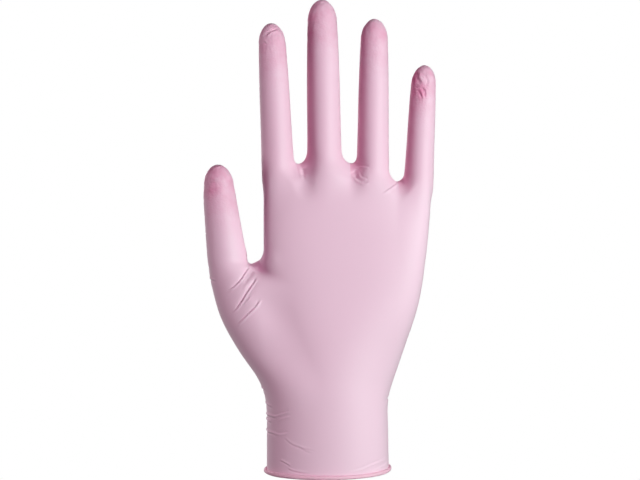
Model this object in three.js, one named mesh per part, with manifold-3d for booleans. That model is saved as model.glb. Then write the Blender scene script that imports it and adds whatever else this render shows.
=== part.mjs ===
// A nitrile exam glove as it stands on an upright hand: one dipped film, hollow from the mouth of
// the cuff to the five fingertips, with its edge rolled outwards into a bead. It is ambidextrous,
// so its front and back are alike and the thumb lies in the plane of the palm.
// Millimetres. The origin is the middle of the mouth, +Z points to the fingertips, -X to the thumb
// and -Y to the side with the deeper folds.
import * as THREE from "three";
import { mergeVertices } from "three/addons/utils/BufferGeometryUtils.js";
import Module from "manifold-3d";

// The film and its rolled edge.
const FILM_WALL = 1.3;
const BEAD_DIAMETER = 3.0;

// The sleeve from the mouth to the crotches of the fingers.
const WRIST_WIDTH = 61.4;
const WRIST_DEPTH = 44;
const PALM_WIDTH = 85.0;
const PALM_DEPTH = 31;
const KNUCKLE_SHIFT = 10.1; // how far the knuckles lie off the wrist's middle, to the little finger
const SLEEVE_FULLNESS = 2.25; // exponent of the section: 2 is an ellipse, more is squarer
const CROTCH_HEIGHT = 156; // the mouth to the highest crotch
const CROTCH_DROP = 8; // how much lower the crotch of the little finger is
const WEB_HEIGHT = 9; // the rounded top of the sleeve between the fingers
const WEB_BLEND = 5; // how softly the fingers grow out of the sleeve

// The middle finger, and all four as shares of it: length from the line of the crotches, width near
// the root and sideways lean of the tip. root is a share of the palm's width, from the wrist's middle.
const FINGER_LENGTH = 84.2;
const FINGER_WIDTH = 17.2;
const FINGERS = [
  { name: "index", length: 0.909, width: 0.948, root: -0.294, lean: -0.035 },
  { name: "middle", length: 1.0, width: 1.0, root: -0.018, lean: -0.018 },
  { name: "ring", length: 0.925, width: 0.942, root: 0.269, lean: 0.008 },
  { name: "little", length: 0.701, width: 0.86, root: 0.545, lean: 0.031 },
].map((row) => ({
  length: FINGER_LENGTH * row.length,
  width: FINGER_WIDTH * row.width,
  root: PALM_WIDTH * row.root,
  lean: FINGER_LENGTH * row.lean,
}));
const TIP_LENGTH = 0.62; // length of a fingertip's dome, as a share of the finger's width

// The thumb, from its crotch up, and the mound that joins it to the wrist.
const THUMB_CROTCH_HEIGHT = 105;
const THUMB_LENGTH = 51.7;
const THUMB_WIDTH = 20.3;
const THUMB_DEPTH = 20.5;
const THUMB_REACH = 60.4; // from the wrist's middle to the outer side of the thumb's root
const MOUND_BLEND = 9; // how softly the mound grows out of the sleeve

// The taut web between thumb and palm: a rod from beside the thumb's crotch up to the palm's side.
const THUMB_WEB_RADIUS = 3.2;
const THUMB_WEB_ENDS = [
  { across: -0.655, up: 0.965 },
  { across: -0.5, up: 1.04 },
];
const THUMB_WEB_BLEND = 3;

// Fineness of the facets.
const CELL_ACROSS = 4.1;
const TIP_CELL_UP = 4.2;
const WEB_CELL_UP = 4.8;
const PALM_CELL_UP = 8.5;
const SHAFT_CELL_UP = 13;
const BEAD_STATIONS = 48;
const BEAD_SIDES = 6;
const FOLD_SIDES = 6;
const FOLD_STEPS = 5;

// The sleeve, by height as a share of the crotches' height. spread goes from the wrist's width at 0
// to the palm's at 1, and slim from the wrist's depth at 0 to the palm's at 1 and on past it.
const SLEEVE_SECTIONS = [
  { height: 0.0, spread: 0.02, slim: 0.0 },
  { height: 0.14, spread: 0.0, slim: 0.0 },
  { height: 0.25, spread: 0.0, slim: 0.02 },
  { height: 0.32, spread: 0.12, slim: 0.1 },
  { height: 0.43, spread: 0.37, slim: 0.3 },
  { height: 0.58, spread: 0.69, slim: 0.66 },
  { height: 0.73, spread: 0.85, slim: 0.96 },
  { height: 0.85, spread: 0.94, slim: 1.27 },
  { height: 1.0, spread: 1.0, slim: 2.05 },
];

// A finger, by share of its length. Both columns are shares of its width.
const FINGER_SECTIONS = [
  { along: -0.24, width: 0.72, depth: 1.0 },
  { along: -0.08, width: 0.98, depth: 1.1 },
  { along: 0.0, width: 1.02, depth: 1.11 },
  { along: 0.16, width: 1.0, depth: 1.06 },
  { along: 0.45, width: 0.99, depth: 0.99 },
  { along: 0.7, width: 0.94, depth: 0.92 },
  { along: 0.86, width: 0.88, depth: 0.84 },
  { along: 1.0, width: 0.82, depth: 0.75 },
];

// The thumb and its mound, by height as a share of the crotch's height up to 1 and of the thumb's
// length past it. outer is a share of THUMB_REACH, width of THUMB_WIDTH and depth of THUMB_DEPTH.
const THUMB_SECTIONS = [
  { height: 0.2, outer: 0.38, width: 1.0, depth: 1.1 },
  { height: 0.34, outer: 0.45, width: 1.4, depth: 1.6 },
  { height: 0.45, outer: 0.567, width: 1.8, depth: 1.78 },
  { height: 0.6, outer: 0.75, width: 2.0, depth: 1.62 },
  { height: 0.75, outer: 0.892, width: 1.9, depth: 1.42 },
  { height: 0.9, outer: 0.976, width: 1.5, depth: 1.2 },
  { height: 1.0, outer: 0.998, width: 1.1, depth: 1.03 },
  { height: 1.14, outer: 1.012, width: 0.96, depth: 0.97 },
  { height: 1.4, outer: 1.027, width: 0.88, depth: 0.88 },
  { height: 1.7, outer: 1.042, width: 0.82, depth: 0.78 },
  { height: 2.0, outer: 1.05, width: 0.78, depth: 0.7 },
];

// The shallow valley that runs down the film from each crotch between two fingers.
const VALLEY_DEPTH = 1.8;
const VALLEY_HALF_WIDTH = 5;
const VALLEY_HALF_LENGTH = 13;
const VALLEY_DROP = 15; // from the crotch down to the valley's middle

// The main folds that stand on the film. across and up are points along the fold, as shares of
// THUMB_REACH from the middle and of THUMB_CROTCH_HEIGHT. rise and half are shares of FOLD_RISE and
// FOLD_HALF_WIDTH, and side is -1 on the front and 1 on the back.
const FOLD_RISE = 1.6;
const FOLD_HALF_WIDTH = 2.1;
const FOLD_SINK = 0.45; // how far a fold's middle line lies under the film's outside
const FOLDS = [
  { across: [-0.66, -0.72, -0.82], up: [0.99, 0.93, 0.895], rise: 0.75, half: 0.8, side: -1 },
  { across: [-0.575, -0.65, -0.8], up: [0.96, 0.885, 0.78], rise: 1.0, half: 1.0, side: -1 },
  { across: [-0.545, -0.645, -0.765], up: [0.85, 0.778, 0.71], rise: 0.85, half: 0.95, side: -1 },
  { across: [-0.46, -0.42, -0.34], up: [0.285, 0.3, 0.318], rise: 0.65, half: 0.8, side: -1 },
  { across: [-0.46, -0.36, -0.12], up: [0.2, 0.175, 0.14], rise: 0.65, half: 0.85, side: -1 },
  { across: [0.12, 0.3, 0.46], up: [0.045, 0.055, 0.085], rise: 0.6, half: 0.75, side: -1 },
  { across: [-0.6, -0.68, -0.8], up: [0.97, 0.89, 0.82], rise: 0.9, half: 0.95, side: 1 },
  { across: [-0.55, -0.65, -0.77], up: [0.86, 0.785, 0.72], rise: 0.75, half: 0.85, side: 1 },
  { across: [-0.46, -0.38, -0.2], up: [0.24, 0.235, 0.21], rise: 0.65, half: 0.8, side: 1 },
];

const wasm = await Module();
wasm.setup();

// A column of a table as a smooth function of another column.
function columnOf(rows, by, key) {
  const places = rows.map((row) => row[by]);
  const values = rows.map((row) => row[key]);
  const curve = new THREE.CubicInterpolant(places, values, 1);
  return (at) => curve.evaluate(THREE.MathUtils.clamp(at, places[0], places.at(-1)))[0];
}

// How far a point at x, y from the middle of a section, and at end past the place where its body
// starts to close, lies outside that body. It is below 0 inside.
function outsideOf(section, x, y, end = 0, endLength = 1) {
  const { halfWidth, halfDepth, fullness } = section;
  const across = Math.abs(x / halfWidth) ** fullness + Math.abs(y / halfDepth) ** fullness;
  const size = (across + (end / endLength) ** fullness) ** (1 / fullness);
  return size > 0 ? Math.hypot(x, y, end) * (1 - 1 / size) : -Math.min(halfWidth, halfDepth);
}

// Two bodies as one, with a fillet of about that size where they meet.
function blended(a, b, fillet) {
  const share = THREE.MathUtils.clamp(0.5 + (b - a) / (2 * fillet), 0, 1);
  return THREE.MathUtils.lerp(b, a, share) - fillet * share * (1 - share);
}

// The height of the line of the crotches, which falls off to both sides.
const LOWEST_CROTCH_AT = (FINGERS[2].root + FINGERS[3].root) / 2;
function crotchHeight(x) {
  const share = THREE.MathUtils.clamp(x / LOWEST_CROTCH_AT, -1, 1);
  return CROTCH_HEIGHT - CROTCH_DROP * share * share;
}

// The sleeve: its section at each height, closed over by a rounded web under the crotches.
const spreadAt = columnOf(SLEEVE_SECTIONS, "height", "spread");
const slimAt = columnOf(SLEEVE_SECTIONS, "height", "slim");
function sleeveSection(share) {
  const spread = spreadAt(share);
  return {
    middle: KNUCKLE_SHIFT * spread,
    halfWidth: THREE.MathUtils.lerp(WRIST_WIDTH, PALM_WIDTH, spread) / 2,
    halfDepth: THREE.MathUtils.lerp(WRIST_DEPTH, PALM_DEPTH, slimAt(share)) / 2,
    fullness: SLEEVE_FULLNESS,
  };
}
function outsideSleeve(x, y, z) {
  const section = sleeveSection(z / crotchHeight(x));
  const round = { halfWidth: section.halfDepth, halfDepth: section.halfDepth, fullness: 2 };
  const intoWeb = Math.max(z - (crotchHeight(x) - WEB_HEIGHT), 0);
  const aroundSide = outsideOf(section, x - section.middle, y);
  return Math.max(aroundSide, outsideOf(round, 0, y, intoWeb, WEB_HEIGHT));
}

// A finger: a tapered shaft whose foot is inside the sleeve and whose tip is a dome.
const fingerWidth = columnOf(FINGER_SECTIONS, "along", "width");
const fingerDepth = columnOf(FINGER_SECTIONS, "along", "depth");
function outsideFinger({ length, width, root, lean }, x, y, z) {
  const height = z - crotchHeight(root);
  const along = height / length;
  const section = {
    halfWidth: (width * fingerWidth(along)) / 2,
    halfDepth: (width * fingerDepth(along)) / 2,
    fullness: 2,
  };
  const middle = root + lean * Math.max(along, 0);
  const tip = TIP_LENGTH * width;
  const foot = FINGER_SECTIONS[0].along * length;
  const end = Math.max(height - (length - tip), foot - height, 0);
  return outsideOf(section, x - middle, y, end, tip);
}

// The thumb with its mound, from inside the wrist to the tip.
const thumbOuter = columnOf(THUMB_SECTIONS, "height", "outer");
const thumbWidth = columnOf(THUMB_SECTIONS, "height", "width");
const thumbDepth = columnOf(THUMB_SECTIONS, "height", "depth");
function outsideThumb(x, y, z) {
  const past = z - THUMB_CROTCH_HEIGHT;
  const at = 1 + (past < 0 ? past / THUMB_CROTCH_HEIGHT : past / THUMB_LENGTH);
  const width = THUMB_WIDTH * thumbWidth(at);
  const section = { halfWidth: width / 2, halfDepth: (THUMB_DEPTH * thumbDepth(at)) / 2, fullness: 2 };
  const tip = TIP_LENGTH * THUMB_WIDTH * thumbWidth(2);
  const foot = THUMB_SECTIONS[0].height * THUMB_CROTCH_HEIGHT;
  const end = Math.max(past - (THUMB_LENGTH - tip), foot - z, 0);
  return outsideOf(section, x - (width / 2 - THUMB_REACH * thumbOuter(at)), y, end, tip);
}

// The web beside the thumb, rounded at its ends.
const [webLow, webHigh] = THUMB_WEB_ENDS.map(
  ({ across, up }) => new THREE.Vector3(across * THUMB_REACH, 0, up * THUMB_CROTCH_HEIGHT),
);
const thumbWeb = new THREE.Line3(webLow, webHigh);
function outsideThumbWeb(x, y, z) {
  const place = new THREE.Vector3(x, y, z);
  const nearest = thumbWeb.closestPointToPoint(place, true, new THREE.Vector3());
  return place.distanceTo(nearest) - THUMB_WEB_RADIUS;
}

// How deep the valleys under the crotches are at x and z.
function valleysAt(x, z) {
  return FINGERS.slice(1).reduce((sum, row, i) => {
    const middle = (FINGERS[i].root + row.root) / 2;
    const sideways = (x - middle) / VALLEY_HALF_WIDTH;
    const upwards = (z - (crotchHeight(middle) - VALLEY_DROP)) / VALLEY_HALF_LENGTH;
    return sum + VALLEY_DEPTH * Math.exp(-(sideways ** 2) - upwards ** 2);
  }, 0);
}

// The whole hand's form.
function outsideGlove(x, y, z) {
  const palm = blended(outsideSleeve(x, y, z), outsideThumb(x, y, z), MOUND_BLEND);
  const webbed = blended(palm, outsideThumbWeb(x, y, z), THUMB_WEB_BLEND);
  const hand = FINGERS.reduce(
    (form, row) => blended(form, outsideFinger(row, x, y, z), WEB_BLEND),
    webbed,
  );
  return hand + valleysAt(x, z);
}

// The distance from the form's surface and the way out of it, to first order. The form's value
// grows unevenly, and near a finger's middle it jumps, so its steepness there isn't taken as it is.
const PROBE = 0.02;
const STEEPNESS = { least: 0.3, most: 3 };
function distanceOf(x, y, z) {
  const value = outsideGlove(x, y, z);
  const way = new THREE.Vector3(
    outsideGlove(x + PROBE, y, z) - outsideGlove(x - PROBE, y, z),
    outsideGlove(x, y + PROBE, z) - outsideGlove(x, y - PROBE, z),
    outsideGlove(x, y, z + PROBE) - outsideGlove(x, y, z - PROBE),
  ).divideScalar(2 * PROBE);
  const steepness = THREE.MathUtils.clamp(way.length(), STEEPNESS.least, STEEPNESS.most);
  return { distance: value / steepness, way: way.normalize() };
}

// Evenly spaced grid lines from low to high, about a cell apart, without the last one.
function gridLines(low, high, cell) {
  const count = Math.ceil((high - low) / cell);
  return Array.from({ length: count }, (_, i) => low + ((high - low) * i) / count);
}

// Grid lines up the glove: close together at the webs and the tips, and wide apart on plain shafts.
function linesUp(floor) {
  const thumbTip = THUMB_CROTCH_HEIGHT + THUMB_LENGTH;
  const lowestTip = crotchHeight(FINGERS[3].root) + FINGERS[3].length;
  const highestTip = CROTCH_HEIGHT + Math.max(...FINGERS.map((row) => row.length));
  const [web, tip] = [2 * WEB_CELL_UP, 3 * TIP_CELL_UP];
  const zones = [
    [floor - 2.5 * PALM_CELL_UP, PALM_CELL_UP],
    [THUMB_CROTCH_HEIGHT - web, WEB_CELL_UP],
    [THUMB_CROTCH_HEIGHT + web, PALM_CELL_UP],
    [Math.min(CROTCH_HEIGHT - CROTCH_DROP, thumbTip) - web, WEB_CELL_UP],
    [Math.max(CROTCH_HEIGHT, thumbTip) + web, SHAFT_CELL_UP],
    [lowestTip - tip, TIP_CELL_UP],
    [highestTip + tip, TIP_CELL_UP],
  ];
  return zones.slice(1).flatMap(([low], i) => gridLines(zones[i][0], low, zones[i][1]));
}

// The six faces of a grid cell, each as its corners in order.
const CELL_FACES = [0, 1, 2].flatMap((across) =>
  [0, 1].map((side) =>
    [[0, 0], [1, 0], [1, 1], [0, 1]].map(([u, v]) => {
      const corner = [0, 0, 0];
      corner[across] = side;
      corner[(across + 1) % 3] = u;
      corner[(across + 2) % 3] = v;
      return corner;
    }),
  ),
);
// An edge of a cell is named by the sum of its two corners.
const edgeBetween = (one, other) => one.map((at, n) => at + other[n]).join("");
const endsOf = (edge) => [Math.floor, Math.ceil].map((round) => [...edge].map((at) => round(at / 2)));

// The crossed edges of a cell, each with the list of those on the same sheet of the surface.
function sheetsThrough(isInside) {
  const sheets = new Map();
  const join = (one, other) => {
    const both = [...new Set([one, other].flatMap((edge) => sheets.get(edge) ?? [edge]))];
    both.forEach((edge) => sheets.set(edge, both));
  };
  for (const face of CELL_FACES) {
    const inside = face.map(isInside);
    const edges = face.map((corner, n) => edgeBetween(corner, face[(n + 1) % 4]));
    const crossed = edges.filter((_, n) => inside[n] !== inside[(n + 1) % 4]);
    if (crossed.length === 2) join(...crossed);
    if (crossed.length === 4) inside.forEach((is, n) => is && join(edges.at(n - 1), edges[n]));
  }
  return sheets;
}

// The closed surface at a depth under the form's, cut off flat at the height floor. Each sheet of it
// in a cell of the grid is one vertex, and the four cells round a crossed grid edge make a face.
function shellAt(depth, floor) {
  const margin = 2 * CELL_ACROSS;
  const reach = Math.max(...FINGERS.map((row) => row.root + row.width / 2 + row.lean));
  const deepest = Math.max(WRIST_DEPTH, THUMB_DEPTH * 2) / 2;
  const xs = gridLines(-THUMB_REACH * 1.06 - margin, reach + margin, CELL_ACROSS);
  const ys = gridLines(-deepest - margin, deepest + margin, CELL_ACROSS);
  const zs = linesUp(floor);
  const valueAt = (x, y, z) => Math.max(distanceOf(x, y, z).distance + depth, floor - z);
  const values = xs.map((x) => ys.map((y) => zs.map((z) => valueAt(x, y, z))));
  const positions = [];
  const triangles = [];

  // The vertex of a sheet: the mean of its crossings, drawn onto the surface.
  function vertexOf(sheet, [i, j, k]) {
    const place = new THREE.Vector3();
    for (const edge of sheet) {
      const [from, to] = endsOf(edge).map(([a, b, c]) => ({
        value: values[i + a][j + b][k + c],
        at: new THREE.Vector3(xs[i + a], ys[j + b], zs[k + c]),
      }));
      place.add(from.at.lerp(to.at, from.value / (from.value - to.value)));
    }
    place.divideScalar(sheet.length);
    for (let step = 0; step < 3 && place.z > floor + PALM_CELL_UP / 2; step++) {
      const { distance, way } = distanceOf(place.x, place.y, place.z);
      place.addScaledVector(way, -(distance + depth));
    }
    positions.push(place.x, place.y, place.z);
    return positions.length / 3 - 1;
  }

  const cells = new Map();
  function vertexIn(cell, edge) {
    const name = cell.join();
    if (!cells.has(name)) {
      const [i, j, k] = cell;
      const sheets = sheetsThrough(([a, b, c]) => values[i + a][j + b][k + c] < 0);
      const vertices = new Map([...new Set(sheets.values())].map((row) => [row, vertexOf(row, cell)]));
      cells.set(name, new Map([...sheets].map(([crossed, row]) => [crossed, vertices.get(row)])));
    }
    return cells.get(name).get(edge);
  }

  const axes = [
    { step: [1, 0, 0], round: [[0, 0, 0], [0, -1, 0], [0, -1, -1], [0, 0, -1]] },
    { step: [0, 1, 0], round: [[0, 0, 0], [0, 0, -1], [-1, 0, -1], [-1, 0, 0]] },
    { step: [0, 0, 1], round: [[0, 0, 0], [-1, 0, 0], [-1, -1, 0], [0, -1, 0]] },
  ];
  for (let i = 1; i < xs.length - 1; i++) {
    for (let j = 1; j < ys.length - 1; j++) {
      for (let k = 1; k < zs.length - 1; k++) {
        for (const { step, round } of axes) {
          const here = values[i][j][k] < 0;
          const there = values[i + step[0]][j + step[1]][k + step[2]] < 0;
          if (here === there) continue;
          const [a, b, c, d] = round.map(([p, q, r]) => {
            const near = [-p, -q, -r];
            return vertexIn([i + p, j + q, k + r], edgeBetween(near, near.map((at, n) => at + step[n])));
          });
          triangles.push(...(here ? [a, b, c, a, c, d] : [a, c, b, a, d, c]));
        }
      }
    }
  }
  return solidOf(positions, triangles);
}

function solidOf(positions, triangles) {
  return new wasm.Manifold(
    new wasm.Mesh({
      numProp: 3,
      vertProperties: new Float32Array(positions),
      triVerts: new Uint32Array(triangles),
    }),
  );
}

// A closed body over a row of rings: its ends are capped, or it closes on itself as a loop.
function skin(rings, loop = false) {
  const sides = rings[0].length;
  const positions = rings.flat().flatMap((point) => point.toArray());
  const triangles = [];
  for (let r = 0; r < (loop ? rings.length : rings.length - 1); r++) {
    const next = (r + 1) % rings.length;
    for (let i = 0; i < sides; i++) {
      const j = (i + 1) % sides;
      const [a, b] = [r * sides + i, r * sides + j];
      const [c, d] = [next * sides + i, next * sides + j];
      triangles.push(a, b, d, a, d, c);
    }
  }
  const last = (rings.length - 1) * sides;
  for (let i = 1; i < sides - 1 && !loop; i++) {
    triangles.push(0, i + 1, i, last, last + i, last + i + 1);
  }
  return solidOf(positions, triangles);
}

// The rolled edge: a round bead whose inside is flush with the film's.
function bead() {
  const radius = BEAD_DIAMETER / 2;
  const { middle, halfWidth, halfDepth, fullness } = sleeveSection(0);
  const line = Array.from({ length: BEAD_STATIONS }, (_, i) => {
    const angle = (2 * Math.PI * i) / BEAD_STATIONS;
    const [c, s] = [Math.cos(angle), Math.sin(angle)];
    const x = (halfWidth - FILM_WALL + radius) * Math.sign(c) * Math.abs(c) ** (2 / fullness);
    const y = (halfDepth - FILM_WALL + radius) * Math.sign(s) * Math.abs(s) ** (2 / fullness);
    return new THREE.Vector3(middle + x, y, radius);
  });
  const rings = line.map((point, i) => {
    const along = new THREE.Vector3()
      .subVectors(line[(i + 1) % line.length], line.at(i - 1))
      .normalize();
    const outwards = new THREE.Vector3(along.y, -along.x, 0);
    return Array.from({ length: BEAD_SIDES }, (_, k) => {
      const angle = (-2 * Math.PI * k) / BEAD_SIDES;
      return point
        .clone()
        .addScaledVector(outwards, radius * Math.cos(angle))
        .add(new THREE.Vector3(0, 0, radius * Math.sin(angle)));
    });
  });
  return skin(rings, true);
}

// How far from the middle plane the glove's surface lies at x and z, found from its outside.
function halfThicknessAt(x, z) {
  let y = Math.max(WRIST_DEPTH, THUMB_DEPTH);
  for (let step = 0; step < 12; step++) y -= distanceOf(x, y, z).distance * 0.7;
  return y;
}

// One fold: a slender spindle that lies half sunk in the film, thickest at its middle.
function fold({ across, up, rise, half, side }) {
  const line = new THREE.SplineCurve(
    across.map((x, i) => new THREE.Vector2(x * THUMB_REACH, up[i] * THUMB_CROTCH_HEIGHT)),
  );
  const rings = [];
  for (let i = 0; i <= FOLD_STEPS; i++) {
    const place = line.getPoint(i / FOLD_STEPS);
    const tangent = line.getTangent(i / FOLD_STEPS);
    const swell = Math.max(Math.sin((Math.PI * i) / FOLD_STEPS), 0.15);
    const sunk = halfThicknessAt(place.x, place.y) - FOLD_SINK;
    const spine = new THREE.Vector3(place.x, side * sunk, place.y);
    const outwards = new THREE.Vector3(0, side, 0);
    const sideways = new THREE.Vector3().crossVectors(
      outwards,
      new THREE.Vector3(tangent.x, 0, tangent.y),
    );
    rings.push(
      Array.from({ length: FOLD_SIDES }, (_, k) => {
        const angle = (2 * Math.PI * k) / FOLD_SIDES;
        return spine
          .clone()
          .addScaledVector(sideways, FOLD_HALF_WIDTH * half * swell * Math.cos(angle))
          .addScaledVector(outwards, FOLD_RISE * rise * swell * Math.sin(angle));
      }),
    );
  }
  return skin(rings);
}

// A three.js geometry, such as a box, as a solid that can cut.
function cutter(geometry) {
  const bare = new THREE.BufferGeometry();
  bare.setAttribute("position", geometry.getAttribute("position"));
  bare.setIndex(geometry.index);
  const merged = mergeVertices(bare);
  return solidOf(merged.getAttribute("position").array, merged.index.array);
}

// The finished film as a three.js mesh.
function meshOf(name, solid, material) {
  const { vertProperties, triVerts } = solid.getMesh();
  const geometry = new THREE.BufferGeometry();
  geometry.setAttribute("position", new THREE.BufferAttribute(vertProperties, 3));
  geometry.setIndex(new THREE.BufferAttribute(triVerts, 1));
  geometry.computeVertexNormals();
  const mesh = new THREE.Mesh(geometry, material);
  mesh.name = name;
  return mesh;
}

// Both shells start well below the mouth, and the film ends in the middle of the bead.
const BELOW_MOUTH = 2 * PALM_CELL_UP;
const below = new THREE.BoxGeometry(2 * PALM_WIDTH, 2 * PALM_WIDTH, 2 * BELOW_MOUTH);
below.translate(0, 0, BEAD_DIAMETER / 2 - BELOW_MOUTH);
const form = shellAt(0, -BELOW_MOUTH / 2).subtract(cutter(below));
const hollow = shellAt(FILM_WALL, -BELOW_MOUTH);
const film = [bead(), ...FOLDS.map(fold)].reduce((whole, body) => whole.add(body), form);

const nitrile = new THREE.MeshStandardMaterial({ color: 0xecc3d6, roughness: 0.5, metalness: 0 });

const glove = new THREE.Group();
glove.add(meshOf("glove_film", film.subtract(hollow), nitrile));

export default glove;
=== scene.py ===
"""A worn nitrile exam glove in pale pink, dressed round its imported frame.

The film is grown as one body from seven tubes, drawn onto a smooth form and then creased. A rolled
bead closes its mouth. Sizes are in millimetres, in the frame's own axes: the origin is the middle of
the mouth, +Z points to the fingertips, -X to the thumb and -Y to the side with the deeper folds.
"""

import logging
import math
from dataclasses import dataclass
from enum import Enum
from typing import Iterable, NamedTuple, Sequence

import bmesh
import bpy
import numpy as np
from mathutils import Matrix, Vector, noise

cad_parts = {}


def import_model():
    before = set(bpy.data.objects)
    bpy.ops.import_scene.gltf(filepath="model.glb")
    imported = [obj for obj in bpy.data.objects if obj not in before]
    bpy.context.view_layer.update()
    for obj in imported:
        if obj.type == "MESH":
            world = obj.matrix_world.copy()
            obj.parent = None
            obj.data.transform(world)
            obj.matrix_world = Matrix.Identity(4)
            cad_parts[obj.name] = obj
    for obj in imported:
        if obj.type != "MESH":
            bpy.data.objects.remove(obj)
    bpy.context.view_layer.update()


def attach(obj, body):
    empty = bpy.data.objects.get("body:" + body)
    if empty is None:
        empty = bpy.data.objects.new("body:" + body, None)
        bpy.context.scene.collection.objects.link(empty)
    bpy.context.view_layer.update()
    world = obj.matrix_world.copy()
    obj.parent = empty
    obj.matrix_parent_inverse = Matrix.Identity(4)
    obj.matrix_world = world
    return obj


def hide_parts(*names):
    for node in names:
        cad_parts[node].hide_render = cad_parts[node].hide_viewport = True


log = logging.getLogger("exam_glove")

MM = 0.001
Array = np.ndarray


class Side(Enum):
    """A side of the glove, as the axis across it, the axis it faces and the way along that axis."""

    FRONT = (0, 1, -1)
    BACK = (0, 1, 1)
    THUMB = (1, 0, -1)
    LITTLE = (1, 0, 1)


@dataclass(frozen=True)
class Curve:
    """One column of a table as a smooth function of another column."""

    places: tuple[float, ...]
    values: tuple[float, ...]

    def __call__(self, at: Array) -> Array:
        """Reads the curve.

        Args:
            at: where to read it. Past its ends it keeps its end values.

        Returns:
            The values there.
        """
        places, values = np.array(self.places), np.array(self.values)
        slopes = np.empty_like(values)
        slopes[1:-1] = (values[2:] - values[:-2]) / (places[2:] - places[:-2])
        slopes[0] = (values[1] - values[0]) / (places[1] - places[0])
        slopes[-1] = (values[-1] - values[-2]) / (places[-1] - places[-2])
        at = np.clip(at, places[0], places[-1])
        low = np.clip(np.searchsorted(places, at, side="right") - 1, 0, len(places) - 2)
        step = places[low + 1] - places[low]
        t = (at - places[low]) / step
        start = (1 + 2 * t) * (1 - t) ** 2 * values[low] + t * (1 - t) ** 2 * step * slopes[low]
        end = t * t * (3 - 2 * t) * values[low + 1] - t * t * (1 - t) * step * slopes[low + 1]
        return start + end


def curve_of(rows: Sequence[NamedTuple], by: str, key: str) -> Curve:
    """Returns one named column of a table as a curve over another."""
    return Curve(tuple(getattr(r, by) for r in rows), tuple(getattr(r, key) for r in rows))


def beyond(
    x: Array, y: Array, half_width: Array, half_depth: Array, fullness: Array, end: Array, cap: float
) -> Array:
    """Measures how far points lie outside a body with a rounded section and a domed end.

    Args:
        x: places across the section, from its middle.
        y: places through the section, from its middle.
        half_width: half the section's width at each point.
        half_depth: half the section's depth at each point.
        fullness: the section's exponent, where 2 is an ellipse and more is squarer.
        end: how far each point is past the place where the body starts to close.
        cap: the length over which it closes.

    Returns:
        About the distance, below 0 inside.
    """
    across = np.abs(x / half_width) ** fullness + np.abs(y / half_depth) ** fullness
    size = np.maximum(across + (end / cap) ** fullness, 1e-9) ** (1 / fullness)
    return np.sqrt(x * x + y * y + end * end) * (1 - 1 / size)


def blended(a: Array, b: Array, fillet: Array | float) -> Array:
    """Joins two bodies with a fillet of about that size where they meet."""
    share = np.clip(0.5 + (b - a) / (2 * fillet), 0, 1)
    return b + (a - b) * share - fillet * share * (1 - share)


def eased(value: Array, low: float, high: float) -> Array:
    """Returns 0 below low, 1 above high and a smooth rise between them."""
    t = np.clip((value - low) / (high - low), 0, 1)
    return t * t * (3 - 2 * t)


class SleeveRow(NamedTuple):
    """The sleeve at a height, which is a share of the crotches' height."""

    height: float
    spread: float
    slim: float
    fullness: float


class ShaftRow(NamedTuple):
    """A finger at a share of its length, as shares of its width."""

    along: float
    width: float
    depth: float


class ThumbRow(NamedTuple):
    """The thumb at a height: outer is a share of its reach, and the others of its width and depth."""

    height: float
    outer: float
    width: float
    depth: float


class Valley(NamedTuple):
    """A soft valley that runs down from a crotch, at a place across."""

    across: float
    depth: float
    half_width: float
    half_length: float


@dataclass(frozen=True)
class Finger:
    """A finger: its length and width, where its root is and how far its tip leans.

    slim is the share of its width that it loses above its root, and fillet the size of the fillets
    at its root. outer is -1 or 1 where the finger's side runs straight on into the palm's side,
    towards -X or +X. dome is the length of its rounded tip, as a share of its width.
    """

    length: float
    width: float
    root: float
    lean: float
    slim: float
    outer: int = 0
    fillet: float = 5.0
    dome: float = 0.62


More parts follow.
